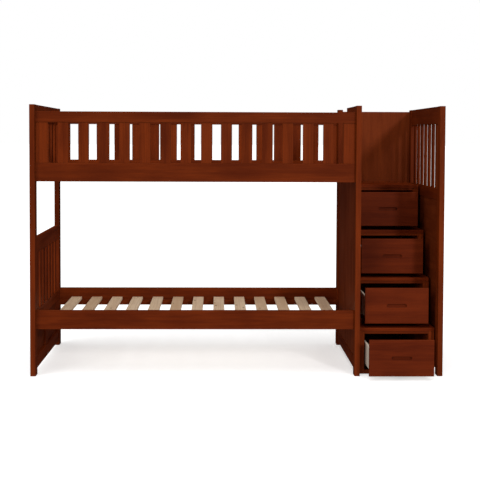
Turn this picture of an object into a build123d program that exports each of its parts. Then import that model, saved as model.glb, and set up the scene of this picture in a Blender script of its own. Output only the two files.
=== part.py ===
"""Twin-over-twin bunk bed with a staircase of four drawers, as a joiner would take it apart.

Millimetres, +X to the staircase, +Y to the back, +Z up. The origin is on the floor, under the centre of the
whole object with its drawers 200 mm open, which is how they stand here.
"""

import os

from build123d import *

# Whole object
WIDTH = 2499.0
DEPTH = 1067.0
HEIGHT = 1640.0

# Posts, and the bay between the left and middle ends, which takes a 1905 mm mattress
POST_X = 32.0
POST_Y = 76.0
BED_BAY = 1930.0
POST_ROUND = 3.0
EDGE_ROUND = 2.0

# Side rails and guards
RAIL_THICK = 25.0
RAIL_INSET = 25.0
LOWER_RAIL_Z = (282.0, 397.0)
UPPER_RAIL_Z = (1177.0, 1289.0)
GUARD_RAIL_Z = (1534.5, 1599.0)
GUARD_SLATS = 14
GUARD_SLAT_WIDE = 64.0
GUARD_SLAT_PITCH = 123.0
GUARD_SLAT_THICK = 16.0
GUARD_STILE_WIDE = 74.5

# Mattress slats on their ledgers
LEDGER_THICK = 25.0
LEDGER_HIGH = 35.0
BED_SLATS = 13
BED_SLAT_WIDE = 71.0
BED_SLAT_PITCH = 141.0
BED_SLAT_THICK = 18.0
BED_SLAT_GAP = 1.0

# Ends: rails and slats between two posts, centred in the posts' thickness
END_RAIL_THICK = 20.0
END_SLAT_THICK = 12.0
END_SLAT_WIDE = 60.0
END_SLATS = 7
BOTTOM_RAIL_Z = (30.0, 100.0)
MIDDLE_RAIL_Z = (316.0, 387.0)
WINDOW_RAIL_Z = (739.0, 836.0)
UPPER_END_RAIL_Z = (1177.0, 1270.0)
TOP_RAIL_Z = (1534.0, 1640.0)
RIGHT_RAIL_Z = (1068.0, 1138.0)
RIGHT_PANEL_JOINT_Z = 773.0
LEFT_PANEL_THICK = 5.0
LEFT_PANEL_LAP = 20.0
MUNTIN_WIDE = 110.0
MUNTIN_THICK = 14.0
PANEL_THICK = 11.0
ENTRY_WIDE = 444.0
ENTRY_POST_WIDE = 62.0
HALF_SLATS = 3

# Staircase
RISE = 284.0
RUN = 195.0
STEPS = 4
STAIR_WIDE = 466.0
STAIR_START = 66.0
TREAD_THICK = 20.0
TREAD_NOSE = 3.0
FRAME_THICK = 20.0
OPENING_WIDE = 394.0
OPENING_LOW = 24.5
OPENING_HIGH = 247.5
SIDE_THICK = 18.0
BACK_THICK = 9.0
BASE_THICK = 6.0
PANEL_GAP = 1.0
BACK_Z = (0.0, 1628.0)
BACK_INSET = 20.0

# Drawers
DRAWER_OPEN = 200.0
DRAWER_CLEAR = 2.5
FRONT_THICK = 18.0
BOX_LONG = 280.0
BOX_HIGH = 130.0
BOX_LIFT = 35.0
BOX_GAP = 6.5
BOX_BACK_DROP = 35.0
BOX_WALL = 12.0
BOX_BOTTOM = 6.0
BOX_GROOVE = 5.0
BOTTOM_LIFT = 10.0
PULL_LONG = 122.0
PULL_HIGH = 20.0
PULL_DEEP = 13.0
PULL_ROUND = 1.5

# Drawer slides: a fixed channel on a runner under the middle of the drawer, and a member under the box
SLIDE_SHEET = 1.5
CHANNEL_WIDE = 45.0
CHANNEL_HIGH = 12.0
MEMBER_WIDE = 36.0
MEMBER_CLEAR = 2.0
RUNNER_WIDE = 60.0
CLEAT_THICK = 20.0

# Fasteners
BOLT_RADIUS = 4.0
BOLT_HEAD_RADIUS = 8.0
BOLT_HEAD_HIGH = 6.0
BOLT_INTO_RAIL = 55.0
BOLT_EDGE = 29.0
NUT_RADIUS = 6.0
NUT_LONG = 18.0
NUT_FROM_END = 42.0
FIT_CLEAR = 0.1
DOWEL_RADIUS = 5.0
DOWEL_LONG = 40.0
DOWEL_EDGE = 22.0

# Places worked out from the above
PROUD = DRAWER_OPEN - STAIR_START - TREAD_NOSE
FRONT = (PROUD - DEPTH) / 2
BACK = FRONT + DEPTH
LEFT = -WIDTH / 2
MIDDLE = LEFT + POST_X + BED_BAY
RIGHT = WIDTH / 2 - POST_X
BAY_X = (LEFT + POST_X, MIDDLE)
STAIR_X = (MIDDLE + POST_X, MIDDLE + POST_X + STAIR_WIDE)
STAIR_MID_X = sum(STAIR_X) / 2
END_Y = (FRONT + POST_Y, BACK - POST_Y)
RAIL_Y = {
    "front": (FRONT + RAIL_INSET, FRONT + RAIL_INSET + RAIL_THICK),
    "back": (BACK - RAIL_INSET - RAIL_THICK, BACK - RAIL_INSET),
}
STAIR_BACK_Y = BACK - BACK_INSET - BACK_THICK
ENTRY_Y = (END_Y[1] - ENTRY_WIDE, END_Y[1])
HALF_Y = (END_Y[0], ENTRY_Y[0] - ENTRY_POST_WIDE)
PEG_TURN = (90, 0, 0)
BOLT_TURN = (0, 90, 0)

# Each end's rails run in Y between two posts: the end's outer x, its y range and its z range
END_RAILS = {
    "left_end_bottom_rail": (LEFT, END_Y, BOTTOM_RAIL_Z),
    "left_end_middle_rail": (LEFT, END_Y, MIDDLE_RAIL_Z),
    "left_end_window_rail": (LEFT, END_Y, WINDOW_RAIL_Z),
    "left_end_upper_rail": (LEFT, END_Y, UPPER_END_RAIL_Z),
    "left_end_top_rail": (LEFT, END_Y, TOP_RAIL_Z),
    "middle_end_bottom_rail": (MIDDLE, END_Y, BOTTOM_RAIL_Z),
    "middle_end_sill_rail": (MIDDLE, END_Y, UPPER_END_RAIL_Z),
    "middle_end_top_rail": (MIDDLE, HALF_Y, TOP_RAIL_Z),
    "right_end_bottom_rail": (RIGHT, END_Y, BOTTOM_RAIL_Z),
    "right_end_middle_rail": (RIGHT, END_Y, RIGHT_RAIL_Z),
    "right_end_top_rail": (RIGHT, END_Y, TOP_RAIL_Z),
}


def board(x, y, z, mode=Mode.ADD):
    """A box that fills three ranges, each given as (low, high)."""
    with Locations((sum(x) / 2, sum(y) / 2, sum(z) / 2)):
        Box(x[1] - x[0], y[1] - y[0], z[1] - z[0], mode=mode)


def within(outer, thick, depth=POST_X):
    """The range of a piece that is centred in the thickness of an end."""
    low = outer + (depth - thick) / 2
    return (low, low + thick)


def spread(centre, count, pitch, wide):
    """Ranges of equal pieces set at an even pitch about a centre."""
    first = centre - pitch * (count - 1) / 2
    middles = [first + pitch * i for i in range(count)]
    return [(middle - wide / 2, middle + wide / 2) for middle in middles]


def save(piece, name):
    """Name a finished piece and write it."""
    piece.part.label = name
    export_step(piece.part, f"parts/{name}.step")


def dowel_sites(outer):
    """Where dowels cross from an end's rails into its posts."""
    sites = []
    for rail_outer, y, z in END_RAILS.values():
        if rail_outer == outer:
            for level in (z[0] + DOWEL_EDGE, z[1] - DOWEL_EDGE):
                sites += [(outer + POST_X / 2, end, level) for end in y]
    return sites


def drill_dowels(outer):
    """Holes for every dowel of one end, in the piece being made."""
    with Locations(*dowel_sites(outer)):
        Cylinder(DOWEL_RADIUS, DOWEL_LONG, rotation=PEG_TURN, mode=Mode.SUBTRACT)


def bolt_levels():
    """Heights of the bed bolts: two in each side rail and one in each guard rail."""
    levels = [z for rail in (LOWER_RAIL_Z, UPPER_RAIL_Z) for z in (rail[0] + BOLT_EDGE, rail[1] - BOLT_EDGE)]
    return levels + [sum(GUARD_RAIL_Z) / 2]


def bolt_sites():
    """Each bolt as (x of its head's outer face, direction along X, y, z)."""
    heads = ((LEFT, 1), (MIDDLE + POST_X, -1))
    return [(x, way, sum(y) / 2, z) for x, way in heads for y in RAIL_Y.values() for z in bolt_levels()]


def bolt_shape(x, way, y, z, clear, mode):
    """A bolt with its flush head, or with clearance and Mode.SUBTRACT the hole for it."""
    reach = POST_X + BOLT_INTO_RAIL
    with Locations((x + way * reach / 2, y, z)):
        Cylinder(BOLT_RADIUS + clear, reach, rotation=BOLT_TURN, mode=mode)
    with Locations((x + way * BOLT_HEAD_HIGH / 2, y, z)):
        Cylinder(BOLT_HEAD_RADIUS + clear, BOLT_HEAD_HIGH, rotation=BOLT_TURN, mode=mode)


def drill_bolts(near_x):
    """Holes for the bolts whose heads are on the given face."""
    for site in bolt_sites():
        if site[0] == near_x:
            bolt_shape(*site, FIT_CLEAR, Mode.SUBTRACT)


def nut_sites():
    """Centres of the barrel nuts, on the bolts, inside the rails."""
    return [(x + way * (POST_X + NUT_FROM_END), y, z) for x, way, y, z in bolt_sites()]


def make_post(name, x, y_low):
    """A full-height post, drilled for the dowels and bolts that enter it."""
    with BuildPart() as post:
        board((x, x + POST_X), (y_low, y_low + POST_Y), (0, HEIGHT))
        fillet(post.edges().filter_by(Axis.Z), POST_ROUND)
        fillet(post.faces().sort_by(Axis.Z)[-1].edges(), EDGE_ROUND)
        drill_dowels(x)
        if x != RIGHT:
            drill_bolts(LEFT if x == LEFT else MIDDLE + POST_X)
    save(post, name)


def make_side_rails(name, sides, z):
    """Rails between the left and middle posts, drilled for bolts and barrel nuts."""
    with BuildPart() as rail:
        for side in sides:
            board(BAY_X, RAIL_Y[side], z)
        fillet(rail.edges().filter_by(Axis.X), EDGE_ROUND)
        drill_bolts(LEFT)
        drill_bolts(MIDDLE + POST_X)
        with Locations(*nut_sites()):
            Cylinder(NUT_RADIUS + FIT_CLEAR, NUT_LONG, rotation=PEG_TURN, mode=Mode.SUBTRACT)
    save(rail, name)


def make_end_rail(name, outer, y, z):
    """A rail across one end, drilled for its dowels."""
    with BuildPart() as rail:
        board(within(outer, END_RAIL_THICK), y, z)
        fillet(rail.edges().filter_by(Axis.Y), EDGE_ROUND)
        drill_dowels(outer)
    save(rail, name)


def make_end_slats(name, outer, y, z, count):
    """Upright slats evenly spaced between two posts."""
    length = y[1] - y[0]
    gap = (length - count * END_SLAT_WIDE) / (count + 1)
    with BuildPart() as slats:
        for place in spread(sum(y) / 2, count, END_SLAT_WIDE + gap, END_SLAT_WIDE):
            board(within(outer, END_SLAT_THICK), place, z)
        fillet(slats.edges().filter_by(Axis.Z), EDGE_ROUND)
    save(slats, name)


def make_guard_slats():
    """Slats and end stiles that stand between the upper side rails and the guard rails."""
    z = (UPPER_RAIL_Z[1], GUARD_RAIL_Z[0])
    places = spread(sum(BAY_X) / 2, GUARD_SLATS, GUARD_SLAT_PITCH, GUARD_SLAT_WIDE)
    places += [(BAY_X[0], BAY_X[0] + GUARD_STILE_WIDE), (BAY_X[1] - GUARD_STILE_WIDE, BAY_X[1])]
    with BuildPart() as guard:
        for rail_y in RAIL_Y.values():
            for place in places:
                board(place, within(rail_y[0], GUARD_SLAT_THICK, RAIL_THICK), z)
        fillet(guard.edges().filter_by(Axis.Z), EDGE_ROUND)
    save(guard, "guard_slats")


def make_ledgers():
    """Four strips inside the side rails, which carry the mattress slats."""
    inner = (RAIL_Y["front"][1], RAIL_Y["back"][0])
    with BuildPart() as ledgers:
        for rail in (LOWER_RAIL_Z, UPPER_RAIL_Z):
            z = (rail[0], rail[0] + LEDGER_HIGH)
            board(BAY_X, (inner[0], inner[0] + LEDGER_THICK), z)
            board(BAY_X, (inner[1] - LEDGER_THICK, inner[1]), z)
    save(ledgers, "slat_ledgers")


def make_bed_slats():
    """The equal loose slats under both mattresses."""
    y = (RAIL_Y["front"][1] + BED_SLAT_GAP, RAIL_Y["back"][0] - BED_SLAT_GAP)
    with BuildPart() as slats:
        for rail in (LOWER_RAIL_Z, UPPER_RAIL_Z):
            low = rail[0] + LEDGER_HIGH
            for place in spread(sum(BAY_X) / 2, BED_SLATS, BED_SLAT_PITCH, BED_SLAT_WIDE):
                board(place, y, (low, low + BED_SLAT_THICK))
        fillet(slats.edges().filter_by(Axis.Y), EDGE_ROUND)
    save(slats, "bed_slats")


def make_left_panel():
    """A thin panel outside the rails of the lower left end, and the muntin that stiffens it."""
    panel_x = (LEFT + 1, LEFT + 1 + LEFT_PANEL_THICK)
    panel_z = (BOTTOM_RAIL_Z[1] - LEFT_PANEL_LAP, MIDDLE_RAIL_Z[0] + LEFT_PANEL_LAP)
    with BuildPart() as panel:
        board(panel_x, END_Y, panel_z)
    save(panel, "left_end_panel")
    middle = sum(END_Y) / 2
    with BuildPart() as muntin:
        muntin_y = (middle - MUNTIN_WIDE / 2, middle + MUNTIN_WIDE / 2)
        board((panel_x[1], panel_x[1] + MUNTIN_THICK), muntin_y, (BOTTOM_RAIL_Z[1], MIDDLE_RAIL_Z[0]))
    save(muntin, "left_end_muntin")


def make_middle_end():
    """The solid panel under the entry, the entry post and the slats beside it."""
    with BuildPart() as panel:
        board(within(MIDDLE, PANEL_THICK), END_Y, (BOTTOM_RAIL_Z[1], UPPER_END_RAIL_Z[0]))
    save(panel, "middle_end_panel")
    with BuildPart() as entry_post:
        y = (HALF_Y[1], ENTRY_Y[0])
        board(within(MIDDLE, END_RAIL_THICK), y, (UPPER_END_RAIL_Z[1], HEIGHT))
        fillet(entry_post.edges().filter_by(Axis.Z), EDGE_ROUND)
        drill_dowels(MIDDLE)
    save(entry_post, "middle_end_entry_post")
    make_end_slats("middle_end_slats", MIDDLE, HALF_Y, (UPPER_END_RAIL_Z[1], TOP_RAIL_Z[0]), HALF_SLATS)


def make_right_panel():
    """Two boards that close the lower part of the right end."""
    x = within(RIGHT, PANEL_THICK)
    with BuildPart() as panel:
        for z in ((BOTTOM_RAIL_Z[1], RIGHT_PANEL_JOINT_Z), (RIGHT_PANEL_JOINT_Z, RIGHT_RAIL_Z[0])):
            board(x, END_Y, z)
    save(panel, "right_end_panel")


def step_face(step):
    """The y of a step's face frame, which a closed drawer is flush with."""
    return FRONT + STAIR_START + TREAD_NOSE + RUN * step


def make_treads():
    """Three equal treads, and at the head of the stairs a deeper one, which is the landing."""
    ends = [step_face(step + 1) + FRAME_THICK for step in range(STEPS - 1)] + [STAIR_BACK_Y]
    with BuildPart() as treads:
        for step, end in enumerate(ends):
            top = RISE * (step + 1)
            board(STAIR_X, (step_face(step) - TREAD_NOSE, end), (top - TREAD_THICK, top))
        fillet(treads.edges().filter_by(Axis.X), EDGE_ROUND)
    save(treads, "treads")


def make_face_frames():
    """Stiles beside the drawer openings, and the rails above and below them."""
    opening = (STAIR_MID_X - OPENING_WIDE / 2, STAIR_MID_X + OPENING_WIDE / 2)
    with BuildPart() as stiles:
        for step in range(STEPS):
            y = (step_face(step), step_face(step) + FRAME_THICK)
            z = (RISE * step, RISE * (step + 1) - TREAD_THICK)
            board((STAIR_X[0], opening[0]), y, z)
            board((opening[1], STAIR_X[1]), y, z)
    save(stiles, "face_stiles")
    rail_levels = ((0, OPENING_LOW), (OPENING_HIGH, RISE - TREAD_THICK))
    with BuildPart() as rails:
        for step in range(STEPS):
            y = (step_face(step), step_face(step) + FRAME_THICK)
            for low, high in rail_levels:
                board(opening, y, (RISE * step + low, RISE * step + high))
    save(rails, "face_rails")


def make_stair_sides():
    """Two stepped boards behind the face frames, which carry the treads and the runner cleats."""
    points = [(STAIR_BACK_Y, 0), (step_face(0) + FRAME_THICK, 0)]
    for step in range(STEPS):
        under_tread = RISE * (step + 1) - TREAD_THICK
        points.append((step_face(step) + FRAME_THICK, under_tread))
        points.append((step_face(step + 1) + FRAME_THICK if step < STEPS - 1 else STAIR_BACK_Y, under_tread))
    lefts = (STAIR_MID_X - OPENING_WIDE / 2 - SIDE_THICK, STAIR_MID_X + OPENING_WIDE / 2)
    with BuildPart() as sides:
        for left in lefts:
            with BuildSketch(Plane.YZ.offset(left)):
                with BuildLine():
                    Polyline(*points, close=True)
                make_face()
            extrude(amount=SIDE_THICK)
    save(sides, "stair_sides")


def make_stair_panels():
    """The tall panel behind the staircase and the base panel under its lowest drawer."""
    opening = (STAIR_MID_X - OPENING_WIDE / 2, STAIR_MID_X + OPENING_WIDE / 2)
    with BuildPart() as panels:
        board((MIDDLE + POST_X, RIGHT), (STAIR_BACK_Y, STAIR_BACK_Y + BACK_THICK), BACK_Z)
        board(opening, (step_face(0) + FRAME_THICK, STAIR_BACK_Y - PANEL_GAP), (0, BASE_THICK))
    save(panels, "stair_panels")


def drawer_base(step):
    """Height of the bottom edge of a drawer's front."""
    return RISE * step + OPENING_LOW + DRAWER_CLEAR


def runner_y(step):
    """From the back of a step's face frame to the back end of its closed drawer."""
    return (step_face(step) + FRAME_THICK, step_face(step) + FRONT_THICK + BOX_LONG)


def channel(wide, y, z, web_up):
    """A U-shaped sheet profile along Y, with its web at the top or at the bottom."""
    board((STAIR_MID_X - wide / 2, STAIR_MID_X + wide / 2), y, z)
    inside = wide / 2 - SLIDE_SHEET
    hollow = (z[0], z[1] - SLIDE_SHEET) if web_up else (z[0] + SLIDE_SHEET, z[1])
    board((STAIR_MID_X - inside, STAIR_MID_X + inside), y, hollow, mode=Mode.SUBTRACT)


def make_runners():
    """Under each drawer, a runner board with a cleat at its back end, and the fixed slide channel on it."""
    opening = (STAIR_MID_X - OPENING_WIDE / 2, STAIR_MID_X + OPENING_WIDE / 2)
    runner_x = (STAIR_MID_X - RUNNER_WIDE / 2, STAIR_MID_X + RUNNER_WIDE / 2)
    with BuildPart() as runners:
        for step in range(STEPS):
            y = runner_y(step)
            z = (RISE * step + BASE_THICK, RISE * step + OPENING_LOW)
            board(runner_x, (y[0], y[1] - CLEAT_THICK), z)
            board(opening, (y[1] - CLEAT_THICK, y[1]), z)
    save(runners, "drawer_runners")
    with BuildPart() as channels:
        for step in range(STEPS):
            low = RISE * step + OPENING_LOW
            channel(CHANNEL_WIDE, runner_y(step), (low, low + CHANNEL_HIGH), web_up=False)
    save(channels, "slide_channels")


def make_drawer(step):
    """One drawer, standing open: its front, its box and the slide member under it."""
    name = f"drawer_{step + 1}"
    face = step_face(step) - DRAWER_OPEN
    base = drawer_base(step)
    half_front = OPENING_WIDE / 2 - DRAWER_CLEAR
    half_box = OPENING_WIDE / 2 - BOX_GAP
    front_z = (base, RISE * step + OPENING_HIGH - DRAWER_CLEAR)
    box_y = (face + FRONT_THICK, face + FRONT_THICK + BOX_LONG)
    box_z = (base + BOX_LIFT, base + BOX_LIFT + BOX_HIGH)
    bottom_z = (box_z[0] + BOTTOM_LIFT, box_z[0] + BOTTOM_LIFT + BOX_BOTTOM)

    with BuildPart() as front:
        board((STAIR_MID_X - half_front, STAIR_MID_X + half_front), (face, face + FRONT_THICK), front_z)
        fillet(front.faces().sort_by(Axis.Y)[0].edges(), EDGE_ROUND)
        pull_centre = (STAIR_MID_X, face, sum(front_z) / 2)
        with BuildSketch(Plane(origin=pull_centre, x_dir=(1, 0, 0), z_dir=(0, -1, 0))):
            SlotOverall(PULL_LONG, PULL_HIGH)
        extrude(amount=-PULL_DEEP, mode=Mode.SUBTRACT)
        mouth = front.faces().sort_by(Axis.Y)[0].inner_wires()[0].edges()
        fillet(mouth, PULL_ROUND)
    save(front, f"{name}_front")

    groove = half_box - BOX_WALL + BOX_GROOVE
    inside = (STAIR_MID_X - half_box + BOX_WALL, STAIR_MID_X + half_box - BOX_WALL)
    with BuildPart() as walls:
        for way in (-1, 1):
            wall = sorted((STAIR_MID_X + way * half_box, STAIR_MID_X + way * (half_box - BOX_WALL)))
            board(wall, box_y, box_z)
        board((STAIR_MID_X - groove, STAIR_MID_X + groove), box_y, bottom_z, mode=Mode.SUBTRACT)
        board(inside, (box_y[1] - BOX_WALL, box_y[1]), (bottom_z[1], box_z[1] - BOX_BACK_DROP))
    save(walls, f"{name}_walls")

    with BuildPart() as bottom:
        board((STAIR_MID_X - groove, STAIR_MID_X + groove), box_y, bottom_z)
    save(bottom, f"{name}_bottom")

    channel_floor = RISE * step + OPENING_LOW + SLIDE_SHEET
    with BuildPart() as member:
        channel(MEMBER_WIDE, box_y, (channel_floor + MEMBER_CLEAR, bottom_z[0]), web_up=True)
    save(member, f"{name}_slide")


def make_fasteners():
    """Bed bolts, their barrel nuts and the dowels of the ends, each kind as one set."""
    with BuildPart() as bolts:
        for site in bolt_sites():
            bolt_shape(*site, 0, Mode.ADD)
    save(bolts, "bed_bolts")
    with BuildPart() as nuts:
        with Locations(*nut_sites()):
            Cylinder(NUT_RADIUS, NUT_LONG, rotation=PEG_TURN)
            Cylinder(BOLT_RADIUS + FIT_CLEAR, 2 * NUT_LONG, rotation=BOLT_TURN, mode=Mode.SUBTRACT)
    save(nuts, "barrel_nuts")
    with BuildPart() as dowels:
        for outer in (LEFT, MIDDLE, RIGHT):
            with Locations(*dowel_sites(outer)):
                Cylinder(DOWEL_RADIUS - FIT_CLEAR, DOWEL_LONG - 2 * FIT_CLEAR, rotation=PEG_TURN)
    save(dowels, "end_dowels")


os.makedirs("parts", exist_ok=True)
for end, outer_x in (("left", LEFT), ("middle", MIDDLE), ("right", RIGHT)):
    make_post(f"{end}_front_post", outer_x, FRONT)
    make_post(f"{end}_back_post", outer_x, END_Y[1])
for rail_name, (outer_x, rail_y, rail_z) in END_RAILS.items():
    make_end_rail(rail_name, outer_x, rail_y, rail_z)
make_end_slats("left_end_lower_slats", LEFT, END_Y, (MIDDLE_RAIL_Z[1], WINDOW_RAIL_Z[0]), END_SLATS)
make_end_slats("left_end_upper_slats", LEFT, END_Y, (UPPER_END_RAIL_Z[1], TOP_RAIL_Z[0]), END_SLATS)
make_end_slats("right_end_slats", RIGHT, END_Y, (RIGHT_RAIL_Z[1], TOP_RAIL_Z[0]), END_SLATS)
make_left_panel()
make_middle_end()
make_right_panel()
for place_name in RAIL_Y:
    make_side_rails(f"lower_{place_name}_rail", [place_name], LOWER_RAIL_Z)
    make_side_rails(f"upper_{place_name}_rail", [place_name], UPPER_RAIL_Z)
make_side_rails("guard_rails", RAIL_Y, GUARD_RAIL_Z)
make_guard_slats()
make_ledgers()
make_bed_slats()
make_treads()
make_face_frames()
make_stair_sides()
make_stair_panels()
make_runners()
for drawer in range(STEPS):
    make_drawer(drawer)
make_fasteners()
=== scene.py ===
"""Looks of the bunk bed with its drawer staircase: stained cherry, pale pine, zinc slides and bed bolts.

Metres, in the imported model's own frame. Every wooden piece is rebuilt board by board from the boxes of the
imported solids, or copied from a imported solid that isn't a plain board. Its paint holds each board's own grain
direction, edge wear and tone.
"""

import math
import random

import bmesh
import bpy
import numpy as np
from mathutils import Matrix, Vector


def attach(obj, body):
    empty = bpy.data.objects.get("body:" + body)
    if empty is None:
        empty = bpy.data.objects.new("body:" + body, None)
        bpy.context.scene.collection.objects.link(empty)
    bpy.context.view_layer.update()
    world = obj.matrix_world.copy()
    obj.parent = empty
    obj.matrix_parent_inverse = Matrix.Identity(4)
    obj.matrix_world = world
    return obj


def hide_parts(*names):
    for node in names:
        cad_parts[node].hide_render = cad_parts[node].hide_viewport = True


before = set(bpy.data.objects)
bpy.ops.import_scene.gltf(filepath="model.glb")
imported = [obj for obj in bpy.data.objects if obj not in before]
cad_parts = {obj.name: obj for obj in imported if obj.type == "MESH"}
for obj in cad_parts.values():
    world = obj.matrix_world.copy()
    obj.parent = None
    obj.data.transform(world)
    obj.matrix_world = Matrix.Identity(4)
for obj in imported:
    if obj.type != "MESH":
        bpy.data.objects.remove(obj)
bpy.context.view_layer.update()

AXES = "XYZ"
MM = 0.001

# How boards are cut and worn; the shares keep rounds and bands inside thin pieces
WELD = 1e-6
EDGE_ROUND = 2 * MM
SHARP_ROUND = 0.8 * MM
WORN_BAND = 3 * MM
CREASE_ANGLE = math.radians(40)
ROUND_STEP = 1 - math.tan(math.radians(22.5))
LOG_SHIFT = 10.0
PITH_ACROSS = 0.05
PITH_BELOW = (0.03, 0.11)
MOST_ROUND = 0.42
MOST_BAND = 0.92
MOST_INSET = 0.46
FLAT_ANGLE = math.radians(1)
ROUND_SEGMENTS = 3

# Camera, which stands where a person would photograph the bed from the front
EYE_FROM_CENTRE = (-0.123, -6.966)
EYE_HEIGHT = 1.447
EYE_YAW = math.radians(1.195)
EYE_PITCH = math.radians(-2.5)
EYE_ROLL = math.radians(0.228)
LENS_MM = 81.15
SENSOR_MM = 36.0
SHIFT_DOWN = 0.1155
SIGHT_REACH = 500.0

# Light
KEY_TRAVEL = (-0.41, 1.0, -0.376)
KEY_STRENGTH = 0.97
KEY_SOFTNESS = math.radians(6.5)
FILL_TRAVEL = (0.75, 1.0, -0.3)
FILL_STRENGTH = 0.7
FILL_SOFTNESS = math.radians(25)
OVERHEAD_TRAVEL = (0.1, 0.35, -1.0)
OVERHEAD_STRENGTH = 1.3
OVERHEAD_SOFTNESS = math.radians(60)
SKY_FILL = 0.37
SKY_SHEEN = 0.012
BACKDROP_WHITE = 1.0
FLOOR_SIZE = 400.0
FLOOR_WHITE = 0.9
FLOOR_ROUGH = 0.9
FLOOR_GLOW = 0.5


# ---------------------------------------------------------------- boards

def solids_of(node):
    """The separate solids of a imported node, each as (points, faces)."""
    shape = bmesh.new()
    shape.from_mesh(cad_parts[node].data)
    bmesh.ops.remove_doubles(shape, verts=shape.verts, dist=WELD)
    shape.verts.ensure_lookup_table()
    shape.verts.index_update()
    found = []
    seen = set()
    for start in shape.verts:
        if start.index not in seen:
            members = connected(start)
            seen.update(v.index for v in members)
            found.append(as_arrays(members))
    shape.free()
    return found


def connected(start):
    """Every vertex that edges join to the first one."""
    seen = {start.index}
    members = [start]
    for vertex in members:
        for edge in vertex.link_edges:
            other = edge.other_vert(vertex)
            if other.index not in seen:
                seen.add(other.index)
                members.append(other)
    return members


def as_arrays(members):
    """Points and faces of one connected group of vertices."""
    place = {vertex: i for i, vertex in enumerate(members)}
    faces = {face for vertex in members for face in vertex.link_faces}
    ordered = sorted(faces, key=lambda face: face.index)
    points = np.array([vertex.co[:] for vertex in members])
    return points, [[place[vertex] for vertex in face.verts] for face in ordered]


def cuts_across(low, high, radius):
    """Where a board is cut along one axis: its round, its worn band and its middle."""
    half = (high - low) / 2
    band = min(radius + WORN_BAND, half * MOST_BAND)
    steps = [0.0, radius * ROUND_STEP, radius, band]
    return [low + step for step in steps] + [high - step for step in reversed(steps)]


def board_grid(low, high, radius):
    """A box surface as a grid of quads: flat points and faces, before its edges are rounded."""
    lines = [cuts_across(low[k], high[k], radius) for k in range(3)]
    last = [len(line) - 1 for line in lines]
    index = {}
    faces = []
    for axis in range(3):
        u, v = (axis + 1) % 3, (axis + 2) % 3
        for end in (0, last[axis]):
            for i in range(last[u]):
                for j in range(last[v]):
                    ring = [(i, j), (i + 1, j), (i + 1, j + 1), (i, j + 1)]
                    if end == 0:
                        ring.reverse()
                    keys = [tuple({axis: end, u: a, v: b}[k] for k in range(3)) for a, b in ring]
                    faces.append([index.setdefault(key, len(index)) for key in keys])
    points = np.array([[lines[k][key[k]] for k in range(3)] for key in index])
    return points, faces


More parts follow.
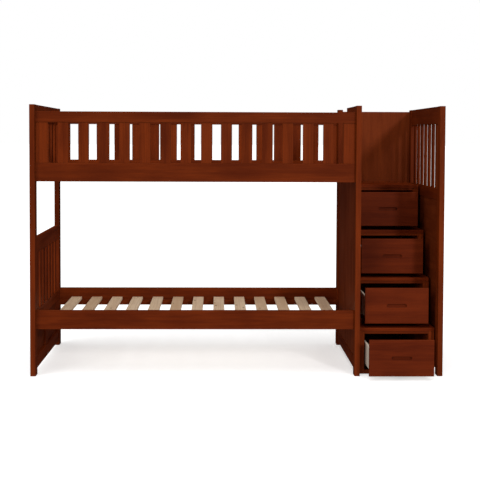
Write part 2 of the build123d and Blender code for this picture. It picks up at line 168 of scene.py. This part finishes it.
class Piece:
    """One visible piece while it is built: its points, faces and the paint that its material reads."""

    def __init__(self, name):
        self.name = name
        self.random = random.Random(name)
        self.points = []
        self.faces = []
        self.normals = []
        self.grain = []
        self.edge = []
        self.tone = []
        self.count = 0

    def add(self, points, faces, normals, flat, low, high, grain, radius):
        """Adds one solid and paints it. flat holds its points before rounding."""
        self.points.append(points)
        self.faces += [[self.count + i for i in face] for face in faces]
        self.normals.append(normals)
        self.count += len(points)
        self.paint(flat, low, high, grain, radius)

    def paint(self, flat, low, high, grain, radius):
        """Grain coordinates (along, across, through), nearness to an edge and the board's own tone.

        Without a grain axis the grain runs along the solid's longest side.
        """
        along = AXES.index(grain) if grain else int(np.argmax(high - low))
        others = sorted((k for k in range(3) if k != along), key=lambda k: low[k] - high[k])
        pick = self.random.uniform
        shift = (pick(-LOG_SHIFT, LOG_SHIFT), pick(-PITH_ACROSS, PITH_ACROSS), pick(*PITH_BELOW))
        centred = flat - (low + high) / 2
        self.grain.append(centred[:, [along, *others]] + np.array(shift))
        from_faces = np.sort(np.minimum(flat - low, high - flat), axis=1)
        self.edge.append(np.clip(1 - (from_faces[:, 1] - radius) / WORN_BAND, 0, 1))
        self.tone.append(np.full(len(flat), pick(-1, 1)))

    def board(self, low, high, grain, radius=EDGE_ROUND):
        """A board with rounded edges that fills the box."""
        low, high = np.array(low, float), np.array(high, float)
        radius = min(radius, (high - low).min() * MOST_ROUND)
        flat, faces = board_grid(low, high, radius)
        inner = np.clip(flat, low + radius, high - radius)
        outward = flat - inner
        outward /= np.linalg.norm(outward, axis=1)[:, None]
        self.add(inner + radius * outward, faces, outward, flat, low, high, grain, radius)

    def boards(self, node, grain, radius=EDGE_ROUND):
        """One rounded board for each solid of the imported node."""
        for points, _ in solids_of(node):
            self.board(points.min(0), points.max(0), grain, radius)
        return self

    def copies(self, node, grain, radius=EDGE_ROUND):
        """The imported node's own solids, cut near their edges so that the paint follows them."""
        for points, faces in solids_of(node):
            low, high = points.min(0), points.max(0)
            points, faces = cut_near_edges(points, faces, low, high, radius)
            self.add(points, faces, np.zeros_like(points), points, low, high, grain, radius)
        return self

    def softened(self, node, grain, radius=SHARP_ROUND):
        """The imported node's own solids, with their sharp edges rounded."""
        for points, faces in solids_of(node):
            low, high = points.min(0), points.max(0)
            points, faces = round_sharp_edges(points, faces, radius)
            points, faces = cut_near_edges(points, faces, low, high, radius)
            self.add(points, faces, np.zeros_like(points), points, low, high, grain, radius)
        return self

    def rings(self, rings, centre, axis, way):
        """A turned solid: rings of (distance, outline) along an axis, closed at both ends."""
        sides = len(rings[0][1])
        frame_u, frame_v = (axis + 1) % 3, (axis + 2) % 3
        points = np.zeros((len(rings) * sides, 3))
        for k, (distance, outline) in enumerate(rings):
            span = slice(k * sides, (k + 1) * sides)
            points[span, axis] = centre[axis] + way * distance
            points[span, frame_u] = centre[frame_u] + np.array([p[0] for p in outline])
            points[span, frame_v] = centre[frame_v] + way * np.array([p[1] for p in outline])
        faces = [list(range(sides))[::-1], [(len(rings) - 1) * sides + i for i in range(sides)]]
        for k in range(len(rings) - 1):
            for i in range(sides):
                j = (i + 1) % sides
                faces.append([k * sides + i, k * sides + j, (k + 1) * sides + j, (k + 1) * sides + i])
        low, high = points.min(0), points.max(0)
        self.add(points, faces, np.zeros_like(points), points, low, high, AXES[axis], 0.0)

    def build(self, material, replaced, body):
        """Makes the object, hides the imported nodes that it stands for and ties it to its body."""
        mesh = bpy.data.meshes.new(self.name)
        mesh.from_pydata(np.concatenate(self.points), [], self.faces)
        mesh.shade_smooth()
        self.store(mesh, "grain", "FLOAT_VECTOR", "vector", np.concatenate(self.grain))
        self.store(mesh, "edge", "FLOAT", "value", np.concatenate(self.edge))
        self.store(mesh, "tone", "FLOAT", "value", np.concatenate(self.tone))
        normals = np.concatenate(self.normals)
        analytic = bool(np.abs(normals).max() > 0)
        mesh.materials.append(material)
        piece = bpy.data.objects.new(self.name, mesh)
        bpy.context.scene.collection.objects.link(piece)
        if analytic:
            mesh.normals_split_custom_set_from_vertices([tuple(n) for n in normals])
        else:
            mesh.set_sharp_from_angle(angle=CREASE_ANGLE)
            smooth = piece.modifiers.new("even_shading", "WEIGHTED_NORMAL")
            smooth.keep_sharp = True
        if replaced:
            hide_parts(*replaced)
        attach(piece, body)
        return piece

    @staticmethod
    def store(mesh, name, kind, field, values):
        """Writes one attribute for every point."""
        layer = mesh.attributes.new(name, kind, "POINT")
        layer.data.foreach_set(field, values.astype(np.float32).ravel())


def shape_from(points, faces):
    """A bmesh of one solid."""
    shape = bmesh.new()
    vertices = [shape.verts.new(p) for p in points]
    for face in faces:
        shape.faces.new([vertices[i] for i in face])
    shape.normal_update()
    return shape


def arrays_from(shape):
    """Points and faces of a bmesh, which is freed."""
    shape.verts.index_update()
    points = np.array([v.co[:] for v in shape.verts])
    faces = [[v.index for v in face.verts] for face in shape.faces]
    shape.free()
    return points, faces


def cut_near_edges(points, faces, low, high, radius):
    """Adds a cut all round, a worn band's width in from each side of the solid's box."""
    shape = shape_from(points, faces)
    for axis in range(3):
        inset = min(radius + WORN_BAND, (high[axis] - low[axis]) * MOST_INSET)
        for level in (low[axis] + inset, high[axis] - inset):
            place, normal = Vector(), Vector()
            place[axis], normal[axis] = level, 1.0
            everything = [*shape.verts, *shape.edges, *shape.faces]
            bmesh.ops.bisect_plane(shape, geom=everything, plane_co=place, plane_no=normal, dist=WELD)
    return arrays_from(shape)


def round_sharp_edges(points, faces, radius):
    """Flat faces are made whole again and every right-angled edge is rounded."""
    shape = shape_from(points, faces)
    bmesh.ops.dissolve_limit(shape, angle_limit=FLAT_ANGLE, verts=shape.verts, edges=shape.edges)
    sharp = [e for e in shape.edges if e.is_manifold and e.calc_face_angle() > CREASE_ANGLE]
    bmesh.ops.bevel(
        shape,
        geom=sharp,
        offset=radius,
        offset_type="OFFSET",
        segments=ROUND_SEGMENTS,
        profile=0.5,
        affect="EDGES",
        clamp_overlap=True,
    )
    return arrays_from(shape)


# ---------------------------------------------------------------- materials

def new_node(tree, kind, inputs=None, **settings):
    """A shader node with its settings, its numbers and its links."""
    made = tree.nodes.new(kind)
    for key, value in settings.items():
        setattr(made, key, value)
    for key, value in (inputs or {}).items():
        if isinstance(value, bpy.types.NodeSocket):
            tree.links.new(value, made.inputs[key])
        else:
            made.inputs[key].default_value = value
    return made


def attribute(tree, name, output):
    return new_node(tree, "ShaderNodeAttribute", attribute_name=name).outputs[output]


def calc(tree, operation, a, b=0.0, c=0.0):
    """One step of arithmetic."""
    return new_node(tree, "ShaderNodeMath", {0: a, 1: b, 2: c}, operation=operation).outputs[0]


def stretched(tree, vector, factors):
    """A vector multiplied axis by axis."""
    return new_node(tree, "ShaderNodeVectorMath", {0: vector, 1: factors}, operation="MULTIPLY").outputs[0]


def cloud(tree, vector, factors, detail=2.0, roughness=0.5, distortion=0.0):
    """Noise over a stretched vector, from 0 to 1."""
    inputs = {
        "Vector": stretched(tree, vector, factors),
        "Scale": 1.0,
        "Detail": detail,
        "Roughness": roughness,
        "Distortion": distortion,
    }
    return new_node(tree, "ShaderNodeTexNoise", inputs).outputs[0]


def ranged(tree, value, low, high, to_low=0.0, to_high=1.0):
    """A value moved smoothly from one range to another."""
    inputs = {0: value, 1: low, 2: high, 3: to_low, 4: to_high}
    return new_node(tree, "ShaderNodeMapRange", inputs, interpolation_type="SMOOTHSTEP").outputs[0]


def blend_colour(tree, share, a, b):
    """Colour a, going over to colour b."""
    made = new_node(tree, "ShaderNodeMix", data_type="RGBA", clamp_factor=True)
    for key, value in ((0, share), (6, a), (7, b)):
        if isinstance(value, bpy.types.NodeSocket):
            tree.links.new(value, made.inputs[key])
        else:
            made.inputs[key].default_value = value
    return made.outputs[2]


def start_material(name):
    """An empty material, its node tree and its shader."""
    material = bpy.data.materials.new(name)
    material.use_nodes = True
    tree = material.node_tree
    return material, tree, tree.nodes["Principled BSDF"]


def opaque(colour):
    return (*colour, 1.0)


def growth_rings(tree, grain, spacing, warp):
    """Late wood of the growth rings round a pith below the board, as thin lines."""
    flat = stretched(tree, grain, (0.0, 1.0, 1.0))
    distance = new_node(tree, "ShaderNodeVectorMath", {0: flat}, operation="LENGTH").outputs["Value"]
    wander = cloud(tree, grain, (1.4, 9.0, 9.0), detail=3.0)
    turns = calc(tree, "MULTIPLY", distance, 2 * math.pi / spacing)
    phase = calc(tree, "MULTIPLY_ADD", wander, warp, turns)
    wave = calc(tree, "SINE", phase)
    return ranged(tree, wave, 0.1, 1.0)


def wood(name, dark, light, pore, worn, rings=0.3, ring_spacing=6 * MM, pores=0.35, wear=0.3, tone=0.12,
         rough=(0.38, 0.52), specular=0.12, bump=0.3, knots=0.0):
    """Stained or bare wood that follows each board's own grain.

    The noise scales are per metre, along, across and through the grain.
    """
    material, tree, shader = start_material(name)
    grain = attribute(tree, "grain", "Vector")
    figure = cloud(tree, grain, (1.5, 20.0, 20.0), detail=5.0, roughness=0.6, distortion=0.5)
    blotch = cloud(tree, grain, (3.5, 8.0, 8.0), detail=2.0)
    fibre = cloud(tree, grain, (14.0, 420.0, 420.0), detail=3.0)
    late = growth_rings(tree, grain, ring_spacing, 9.0)
    dashes = cloud(tree, grain, (70.0, 1900.0, 1900.0), detail=1.0)
    open_pores = ranged(tree, dashes, 0.6, 0.72)

    mixed = calc(tree, "MULTIPLY_ADD", figure, 0.5, calc(tree, "MULTIPLY", blotch, 0.3))
    mixed = calc(tree, "MULTIPLY_ADD", fibre, 0.2, mixed)
    mixed = calc(tree, "MULTIPLY_ADD", attribute(tree, "tone", "Fac"), tone, mixed)
    colour = blend_colour(tree, ranged(tree, mixed, 0.3, 0.7), opaque(dark), opaque(light))
    colour = blend_colour(tree, calc(tree, "MULTIPLY", late, rings), colour, opaque(dark))
    colour = blend_colour(tree, calc(tree, "MULTIPLY", open_pores, pores), colour, opaque(pore))
    if knots:
        colour = add_knots(tree, grain, colour, opaque(pore), knots)
    rubbed = ranged(tree, cloud(tree, grain, (40.0, 120.0, 120.0), detail=3.0), 0.3, 0.7)
    rubbed = calc(tree, "MULTIPLY", calc(tree, "MULTIPLY", attribute(tree, "edge", "Fac"), rubbed), wear)
    colour = blend_colour(tree, rubbed, colour, opaque(worn))

    relief = calc(tree, "MULTIPLY_ADD", fibre, 0.5, calc(tree, "MULTIPLY", open_pores, -0.7))
    relief = calc(tree, "MULTIPLY_ADD", late, 0.15, relief)
    inputs = {"Height": relief, "Strength": bump, "Distance": 0.3 * MM}
    raised = new_node(tree, "ShaderNodeBump", inputs)
    tree.links.new(colour, shader.inputs["Base Color"])
    tree.links.new(ranged(tree, mixed, 0.3, 0.7, rough[1], rough[0]), shader.inputs["Roughness"])
    tree.links.new(raised.outputs[0], shader.inputs["Normal"])
    shader.inputs["Specular IOR Level"].default_value = specular
    return material


def add_knots(tree, grain, colour, knot_colour, strength):
    """A few small knots, drawn out along the grain."""
    bent = stretched(tree, grain, (5.0, 15.0, 15.0))
    cells = new_node(tree, "ShaderNodeTexVoronoi", {"Vector": bent, "Scale": 1.0}, feature="F1")
    wobble = cloud(tree, grain, (60.0, 150.0, 150.0), detail=2.0)
    distance = calc(tree, "MULTIPLY_ADD", wobble, 0.06, cells.outputs["Distance"])
    inside = ranged(tree, distance, 0.17, 0.09)
    return blend_colour(tree, calc(tree, "MULTIPLY", inside, strength), colour, knot_colour)


def steel(name, dark, light, rough, scale):
    """Plated steel with a faint spangle, fine scratches and duller patches."""
    material, tree, shader = start_material(name)
    place = new_node(tree, "ShaderNodeTexCoord").outputs["Object"]
    spangle = new_node(tree, "ShaderNodeTexVoronoi", {"Vector": place, "Scale": scale}, feature="F1")
    drawn = cloud(tree, place, (900.0, 40.0, 900.0), detail=3.0)
    dull = cloud(tree, place, (30.0, 30.0, 30.0), detail=4.0)
    share = calc(tree, "MULTIPLY_ADD", drawn, 0.4, calc(tree, "MULTIPLY", dull, 0.4))
    share = calc(tree, "MULTIPLY_ADD", spangle.outputs["Distance"], 0.3, share)
    colour = blend_colour(tree, ranged(tree, share, 0.3, 0.8), opaque(dark), opaque(light))
    tree.links.new(colour, shader.inputs["Base Color"])
    tree.links.new(ranged(tree, dull, 0.3, 0.7, rough[0], rough[1]), shader.inputs["Roughness"])
    inputs = {"Height": drawn, "Strength": 0.15, "Distance": 0.05 * MM}
    tree.links.new(new_node(tree, "ShaderNodeBump", inputs).outputs[0], shader.inputs["Normal"])
    shader.inputs["Metallic"].default_value = 1.0
    return material


def make_materials():
    """Every finish of the bed."""
    cherry = dict(pore=(0.034, 0.0045, 0.0012), worn=(0.25, 0.052, 0.012))
    cherry.update(wear=0.16, specular=0.05, tone=0.08)
    return {
        "frame": wood("cherry_frame_wood", (0.090, 0.0112, 0.0017), (0.200, 0.0300, 0.0044), **cherry),
        "panel": wood("cherry_panel_wood", (0.112, 0.0170, 0.0036), (0.215, 0.0380, 0.0078), rings=0.12,
                      ring_spacing=11 * MM, rough=(0.42, 0.56), **cherry),
        "tread": wood("cherry_tread_wood", (0.092, 0.0100, 0.0014), (0.20, 0.0265, 0.0038),
                      rough=(0.36, 0.5), **cherry),
        "front": wood("cherry_drawer_wood", (0.080, 0.0093, 0.0021), (0.166, 0.0232, 0.0048),
                      rings=0.25, **cherry),
        "slat": wood("pine_slat_wood", (0.66, 0.44, 0.27), (0.90, 0.69, 0.48), pore=(0.24, 0.12, 0.05),
                     worn=(0.84, 0.69, 0.52), rings=0.4, ring_spacing=7 * MM, pores=0.08,
                     rough=(0.55, 0.72), bump=0.4, knots=0.75),
        "box": wood("drawer_box_wood", (0.60, 0.50, 0.40), (0.77, 0.67, 0.55), pore=(0.42, 0.33, 0.25),
                    worn=(0.79, 0.70, 0.58), rings=0.25, pores=0.2, rough=(0.5, 0.66)),
        "dowel": wood("beech_dowel_wood", (0.47, 0.31, 0.18), (0.64, 0.47, 0.30), pore=(0.27, 0.15, 0.07),
                      worn=(0.68, 0.52, 0.36), rings=0.15, pores=0.5, rough=(0.5, 0.64)),
        "zinc": steel("zinc_slide_steel", (0.42, 0.43, 0.45), (0.66, 0.67, 0.69), (0.28, 0.42), 160.0),
        "bolt": steel("bolt_steel", (0.10, 0.095, 0.09), (0.21, 0.20, 0.19), (0.34, 0.5), 500.0),
        "nut": steel("nut_steel", (0.46, 0.44, 0.38), (0.68, 0.65, 0.56), (0.26, 0.4), 700.0),
    }


# ---------------------------------------------------------------- pieces

# Wooden nodes of the frame: how each is made, the axis of its grain and its finish
FRAME_WOOD = {
    "boards": {
        "guard_slats": ("Z", "frame", "cherry_frame"),
        "left_end_bottom_rail": ("Y", "frame", "cherry_frame"),
        "left_end_middle_rail": ("Y", "frame", "cherry_frame"),
        "left_end_window_rail": ("Y", "frame", "cherry_frame"),
        "left_end_upper_rail": ("Y", "frame", "cherry_frame"),
        "left_end_top_rail": ("Y", "frame", "cherry_frame"),
        "left_end_lower_slats": ("Z", "frame", "cherry_frame"),
        "left_end_upper_slats": ("Z", "frame", "cherry_frame"),
        "left_end_muntin": ("Z", "frame", "cherry_frame"),
        "left_end_panel": ("Y", "panel", "cherry_panel"),
        "middle_end_bottom_rail": ("Y", "frame", "cherry_frame"),
        "middle_end_sill_rail": ("Y", "frame", "cherry_frame"),
        "middle_end_top_rail": ("Y", "frame", "cherry_frame"),
        "middle_end_slats": ("Z", "frame", "cherry_frame"),
        "middle_end_entry_post": ("Z", "frame", "cherry_frame"),
        "middle_end_panel": ("Z", "panel", "cherry_panel"),
        "right_end_bottom_rail": ("Y", "frame", "cherry_frame"),
        "right_end_middle_rail": ("Y", "frame", "cherry_frame"),
        "right_end_top_rail": ("Y", "frame", "cherry_frame"),
        "right_end_slats": ("Z", "frame", "cherry_frame"),
        "right_end_panel": ("Y", "panel", "cherry_panel"),
        "slat_ledgers": ("X", "frame", "cherry_frame"),
        "face_rails": ("X", "frame", "cherry_frame"),
        "face_stiles": ("Z", "frame", "cherry_frame"),
        "stair_panels": (None, "panel", "cherry_panel"),
        "treads": ("X", "tread", "cherry_tread"),
        "bed_slats": ("Y", "slat", "pale_wood"),
    },
    "copies": {
        "left_front_post": ("Z", "frame", "cherry_frame"),
        "left_back_post": ("Z", "frame", "cherry_frame"),
        "middle_front_post": ("Z", "frame", "cherry_frame"),
        "middle_back_post": ("Z", "frame", "cherry_frame"),
        "right_front_post": ("Z", "frame", "cherry_frame"),
        "right_back_post": ("Z", "frame", "cherry_frame"),
        "lower_front_rail": ("X", "frame", "cherry_frame"),
        "lower_back_rail": ("X", "frame", "cherry_frame"),
        "upper_front_rail": ("X", "frame", "cherry_frame"),
        "upper_back_rail": ("X", "frame", "cherry_frame"),
        "guard_rails": ("X", "frame", "cherry_frame"),
    },
    "softened": {
        "stair_sides": ("Z", "panel", "cherry_panel"),
        "drawer_runners": ("Y", "box", "pale_wood"),
    },
}

# The wooden nodes of each drawer, after "drawer_1_" and so on
DRAWER_WOOD = {
    "copies": {"front": ("X", "front", "cherry_drawer_front")},
    "softened": {"walls": ("Y", "box", "pale_wood")},
    "boards": {"bottom": ("X", "box", "pale_wood")},
}

DRAWERS = (1, 2, 3, 4)

# Bolts and dowels
BOLT_SIDES = 24
SOCKET_ACROSS = 5 * MM
THREAD_PITCH = 1.5 * MM
THREAD_DEEP = 0.5 * MM
BOLT_RIM = 0.5 * MM
RIM_SHARE = 0.9
SOCKET_DEEP = 0.7
THREAD_START = 0.62
FLUTES = 12
FLUTE_DEEP = 0.35 * MM
POINTS_PER_FLUTE = 4
DOWEL_CHAMFER = 0.25


def make_wood(table, finishes, body, prefix=""):
    """Builds each wooden node of a table on one body."""
    for way, nodes in table.items():
        for short, (grain, finish, slot) in nodes.items():
            node = prefix + short
            piece = Piece(node + "_wood")
            getattr(piece, way)(node, grain)
            piece.build(finishes[finish], [node], body)


def circle(radius, sides):
    """Points of a circle."""
    turns = [2 * math.pi * i / sides for i in range(sides)]
    return [(radius * math.cos(t), radius * math.sin(t)) for t in turns]


def hexagon(half_across, sides):
    """Points along a hexagon, as many as a circle beside it has."""
    points = []
    for i in range(sides):
        turn = 2 * math.pi * i / sides
        off = (turn + math.pi / 6) % (math.pi / 3) - math.pi / 6
        reach = half_across / math.cos(off)
        points.append((reach * math.cos(turn), reach * math.sin(turn)))
    return points


def fluted(radius, sides):
    """Points of a dowel's fluted outline."""
    points = []
    for i in range(sides):
        turn = 2 * math.pi * i / sides
        reach = radius - FLUTE_DEEP * (0.5 - 0.5 * math.cos(FLUTES * turn))
        points.append((reach * math.cos(turn), reach * math.sin(turn)))
    return points


def bolt_rings(length, head_radius, head_high, shank_radius):
    """A flush bolt from the bottom of its hex socket, over its head and down its thread."""
    rim = BOLT_RIM
    rings = [(head_high * SOCKET_DEEP, hexagon(SOCKET_ACROSS / 2, BOLT_SIDES))]
    rings.append((rim, hexagon(SOCKET_ACROSS / 2, BOLT_SIDES)))
    rings.append((0.0, hexagon(SOCKET_ACROSS / 2 + rim, BOLT_SIDES)))
    rings.append((0.0, circle(head_radius - rim, BOLT_SIDES)))
    rings.append((rim, circle(head_radius, BOLT_SIDES)))
    rings.append((head_high, circle(head_radius, BOLT_SIDES)))
    rings.append((head_high, circle(shank_radius, BOLT_SIDES)))
    place = length * THREAD_START
    while place < length - 2 * THREAD_PITCH:
        rings.append((place, circle(shank_radius, BOLT_SIDES)))
        rings.append((place + THREAD_PITCH / 2, circle(shank_radius - THREAD_DEEP, BOLT_SIDES)))
        place += THREAD_PITCH
    rings.append((length - rim, circle(shank_radius, BOLT_SIDES)))
    rings.append((length, circle(shank_radius - rim, BOLT_SIDES)))
    return rings


def make_bolts(finish):
    """Bed bolts with hex-socket heads that lie flush in the posts."""
    piece = Piece("bed_bolts_steel")
    for points, _ in solids_of("bed_bolts"):
        low, high = points.min(0), points.max(0)
        centre = (low + high) / 2
        reach = np.hypot(points[:, 1] - centre[1], points[:, 2] - centre[2])
        head_radius = reach.max()
        wide = points[reach > head_radius * RIM_SHARE][:, 0]
        head_high = wide.max() - wide.min()
        way = 1 if wide.min() - low[0] < high[0] - wide.max() else -1
        start = centre.copy()
        start[0] = low[0] if way > 0 else high[0]
        rings = bolt_rings(high[0] - low[0], head_radius, head_high, reach.min() or head_radius / 2)
        piece.rings(rings, start, 0, way)
    piece.build(finish, ["bed_bolts"], "frame")


def make_dowels(finish):
    """Fluted beech dowels with chamfered ends."""
    piece = Piece("end_dowels_wood")
    sides = FLUTES * POINTS_PER_FLUTE
    for points, _ in solids_of("end_dowels"):
        low, high = points.min(0), points.max(0)
        length = high[1] - low[1]
        radius = (high[0] - low[0]) / 2
        chamfer = radius * DOWEL_CHAMFER
        rings = [
            (0.0, circle(radius - chamfer, sides)),
            (chamfer, fluted(radius, sides)),
            (length - chamfer, fluted(radius, sides)),
            (length, circle(radius - chamfer, sides)),
        ]
        start = (low + high) / 2
        start[1] = low[1]
        piece.rings(rings, start, 1, 1)
    piece.build(finish, ["end_dowels"], "frame")


def finish_metal(finishes):
    """The slides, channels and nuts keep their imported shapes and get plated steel."""
    nodes = ["slide_channels", "barrel_nuts"]
    nodes += [f"drawer_{number}_slide" for number in DRAWERS]
    for node in nodes:
        finish = finishes["nut" if node == "barrel_nuts" else "zinc"]
        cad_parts[node].material_slots[0].material = finish


# ---------------------------------------------------------------- studio

def make_floor():
    """A plain pale floor."""
    bpy.ops.mesh.primitive_plane_add(size=FLOOR_SIZE, location=(0, 0, 0))
    floor = bpy.context.object
    floor.name = "studio_floor"
    material, _, shader = start_material("pale_floor")
    shader.inputs["Base Color"].default_value = opaque((FLOOR_WHITE,) * 3)
    shader.inputs["Roughness"].default_value = FLOOR_ROUGH
    shader.inputs["Specular IOR Level"].default_value = 0.0
    shader.inputs["Emission Color"].default_value = opaque((1.0,) * 3)
    shader.inputs["Emission Strength"].default_value = FLOOR_GLOW
    floor.data.materials.append(material)
    floor.visible_diffuse = False
    floor.visible_glossy = False


def make_sky():
    """White behind the bed, a dimmer even fill on it, and dimmer still in its polish."""
    world = bpy.data.worlds.new("studio")
    bpy.context.scene.world = world
    world.use_nodes = True
    tree = world.node_tree
    tree.nodes.clear()
    ray = new_node(tree, "ShaderNodeLightPath").outputs
    strength = calc(tree, "MULTIPLY_ADD", ray["Is Camera Ray"], BACKDROP_WHITE - SKY_SHEEN, SKY_SHEEN)
    strength = calc(tree, "MULTIPLY_ADD", ray["Is Diffuse Ray"], SKY_FILL - SKY_SHEEN, strength)
    sky = new_node(tree, "ShaderNodeBackground", {"Color": opaque((1.0,) * 3), "Strength": strength})
    new_node(tree, "ShaderNodeOutputWorld", {"Surface": sky.outputs[0]})


def add_light(name, strength, travel, softness, shines=False):
    """A distant lamp that shines along a direction, as wide as its softness in the sky.

    Only a lamp that shines shows in the polish.
    """
    lamp = bpy.data.lights.new(name, "SUN")
    lamp.energy = strength
    lamp.angle = softness
    made = bpy.data.objects.new(name, lamp)
    made.rotation_mode = "QUATERNION"
    made.rotation_quaternion = Vector(travel).to_track_quat("-Z", "Y")
    made.visible_glossy = shines
    bpy.context.scene.collection.objects.link(made)


def make_lights():
    """A fairly soft key from the front right, a softer fill from the front left, a soft light from above."""
    add_light("key", KEY_STRENGTH, KEY_TRAVEL, KEY_SOFTNESS, shines=True)
    add_light("fill", FILL_STRENGTH, FILL_TRAVEL, FILL_SOFTNESS)
    add_light("overhead", OVERHEAD_STRENGTH, OVERHEAD_TRAVEL, OVERHEAD_SOFTNESS)


def make_camera():
    """The eye in front of the bed, level with its upper bunk."""
    data = bpy.data.cameras.new("eye")
    data.lens = LENS_MM
    data.sensor_width = SENSOR_MM
    data.shift_y = -SHIFT_DOWN
    data.clip_end = SIGHT_REACH
    camera = bpy.data.objects.new("eye", data)
    turn = Matrix.Rotation(-EYE_YAW, 4, "Z")
    tilt = Matrix.Rotation(math.pi / 2 + EYE_PITCH, 4, "X")
    roll = Matrix.Rotation(EYE_ROLL, 4, "Z")
    place = Matrix.Translation((*EYE_FROM_CENTRE, EYE_HEIGHT))
    camera.matrix_world = place @ turn @ tilt @ roll
    bpy.context.scene.collection.objects.link(camera)
    bpy.context.scene.camera = camera


finishes = make_materials()
make_wood(FRAME_WOOD, finishes, "frame")
for number in DRAWERS:
    make_wood(DRAWER_WOOD, finishes, f"drawer_{number}", f"drawer_{number}_")
make_bolts(finishes["bolt"])
make_dowels(finishes["dowel"])
finish_metal(finishes)
make_floor()
make_sky()
make_lights()
make_camera()
bpy.context.scene.view_settings.view_transform = "Standard"
